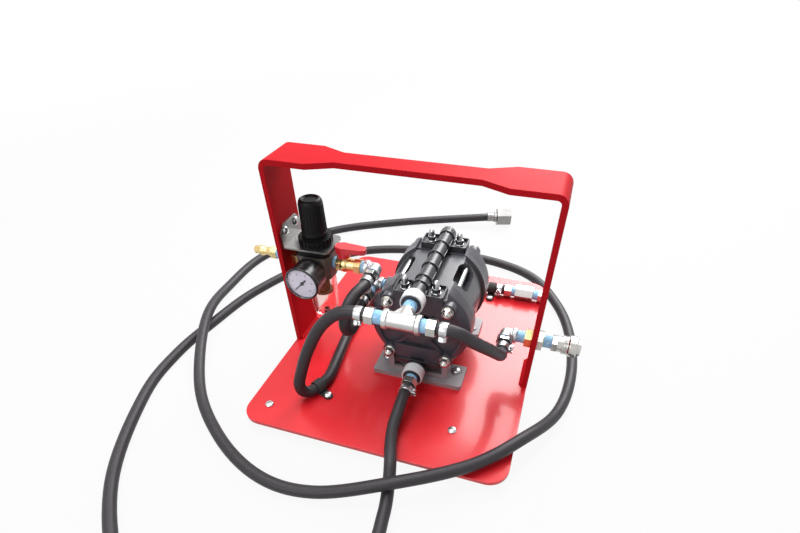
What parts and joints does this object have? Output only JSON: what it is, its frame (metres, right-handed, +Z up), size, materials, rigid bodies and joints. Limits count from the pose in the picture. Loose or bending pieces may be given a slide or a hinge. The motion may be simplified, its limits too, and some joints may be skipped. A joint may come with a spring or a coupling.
{
  "type": "portable air-operated double-diaphragm pump set",
  "caption": "Small air-driven diaphragm pump on a flat red carry plate with a bent-bar handle, with a filter regulator, gauge, ball valve, quick couplings and rubber hoses.",
  "frame": {"origin": "on the floor, under the middle of the carry plate", "axes": "+X to the right along the handle, towards the outlet coupler; +Y to the back; +Z up"},
  "size_m": [0.5259, 0.7887, 0.2476],
  "materials": {
    "red_paint": "satin powder coat",
    "foot_rubber": "matt",
    "zinc_steel": "bright zinc",
    "clip_rubber": "matt",
    "foot_plastic": "moulded",
    "grey_plastic": "moulded",
    "black_plastic": "moulded",
    "diaphragm_rubber": "matt",
    "stainless": "machined",
    "plate_alloy": "machined",
    "white_plastic": "moulded",
    "die_cast": "painted casting",
    "knob_plastic": "fine grain",
    "bracket_chrome": "bright",
    "gauge_black": "gloss",
    "dial_white": "printed",
    "needle_black": "matt",
    "clear_lens": "clear",
    "clear_bowl": "clear",
    "element_bronze": "sintered",
    "brass": "machined",
    "nickel": "nickel plate",
    "lever_red": "dipped vinyl",
    "sealant_blue": "dried thread sealant",
    "clamp_steel": "pressed",
    "hose_rubber": "cloth-wrap impression"
  },
  "bodies": {
    "frame": {"base_plate": "red_paint", "carry_handle": "red_paint", "rubber_feet": "foot_rubber", "base_bolts": "zinc_steel", "hose_clips": "clip_rubber", "pump_feet": "foot_plastic", "centre_block": "grey_plastic", "front_chamber": "black_plastic", "rear_chamber": "black_plastic", "diaphragms": "diaphragm_rubber", "discharge_manifold": "black_plastic", "suction_manifold": "black_plastic", "port_rings": "white_plastic", "manifold_plugs": "black_plastic", "valve_seats": "white_plastic", "tie_bolts": "stainless", "dome_nuts": "stainless", "manifold_bolts": "stainless", "regulator_body": "die_cast", "regulator_bonnet": "black_plastic", "panel_ring": "black_plastic", "mount_bracket": "bracket_chrome", "bracket_screws": "zinc_steel", "gauge_case": "gauge_black", "gauge_dial": "dial_white", "gauge_lens": "clear_lens", "filter_bowl": "clear_bowl", "filter_element": "element_bronze", "bulkheads": "brass", "bulkhead_nuts": "nickel", "air_plug": "brass", "valve_body": "brass", "outlet_tee": "stainless", "elbows": "nickel", "hose_barbs": "stainless", "seal_bands": "sealant_blue", "hose_clamps": "clamp_steel", "coupler_body": "nickel", "return_coupling": "stainless", "air_hose": "hose_rubber", "outlet_hose": "hose_rubber", "return_hose": "hose_rubber", "suction_hose": "hose_rubber", "hose_end": "nickel"},
    "shaft": {"diaphragm_shaft": "stainless", "diaphragm_plates": "plate_alloy"},
    "spool": {"air_spool": "plate_alloy"},
    "front_suction_check": {"front_suction_ball": "white_plastic"},
    "rear_suction_check": {"rear_suction_ball": "white_plastic"},
    "front_discharge_check": {"front_discharge_ball": "white_plastic"},
    "rear_discharge_check": {"rear_discharge_ball": "white_plastic"},
    "pressure_screw": {"adjusting_screw": "zinc_steel"},
    "pressure_knob": {"regulator_knob": "knob_plastic"},
    "needle": {"gauge_needle": "needle_black"},
    "drain": {"bowl_drain": "knob_plastic"},
    "lever": {"valve_lever": "lever_red", "valve_stem": "nickel", "valve_ball": "bracket_chrome"},
    "sleeve": {"coupler_sleeve": "nickel"}
  },
  "joints": [
    {"name": "lever_turn", "type": "hinge", "parent": "frame", "child": "lever", "pos_m": [-0.079, -0.015, 0.126], "axis": [0, 0, 1], "range_deg": [0, 90]},
    {"name": "shaft_stroke", "type": "slide", "parent": "frame", "child": "shaft", "axis": [0, 1, 0], "range_m": [-0.007, 0.007], "deforming": ["diaphragms"]},
    {"name": "spool_shift", "type": "slide", "parent": "frame", "child": "spool", "axis": [0, 1, 0], "range_m": [-0.004, 0.004]},
    {"name": "front_suction_lift", "type": "slide", "parent": "frame", "child": "front_suction_check", "axis": [0, 0, 1], "range_m": [0, 0.0025]},
    {"name": "rear_suction_lift", "type": "slide", "parent": "frame", "child": "rear_suction_check", "axis": [0, 0, 1], "range_m": [0, 0.0025]},
    {"name": "front_discharge_lift", "type": "slide", "parent": "frame", "child": "front_discharge_check", "axis": [0, 0, 1], "range_m": [0, 0.0025]},
    {"name": "rear_discharge_lift", "type": "slide", "parent": "frame", "child": "rear_discharge_check", "axis": [0, 0, 1], "range_m": [0, 0.0025]},
    {"name": "pressure_turn", "type": "hinge", "parent": "frame", "child": "pressure_screw", "pos_m": [-0.112, -0.015, 0.126], "axis": [0, 0, 1], "range_deg": [-720, 720]},
    {"name": "knob_unlock", "type": "slide", "parent": "pressure_screw", "child": "pressure_knob", "axis": [0, 0, 1], "range_m": [0, 0.004]},
    {"name": "needle_swing", "type": "hinge", "parent": "frame", "child": "needle", "pos_m": [-0.112, -0.062, 0.122], "axis": [0, -1, 0], "range_deg": [-270, 0]},
    {"name": "drain_turn", "type": "hinge", "parent": "frame", "child": "drain", "pos_m": [-0.112, -0.015, 0.052], "axis": [0, 0, 1], "range_deg": [0, 90]},
    {"name": "sleeve_pull", "type": "slide", "parent": "frame", "child": "sleeve", "axis": [-1, 0, 0], "range_m": [0, 0.005], "stiffness_N_per_m": 400}
  ]
}
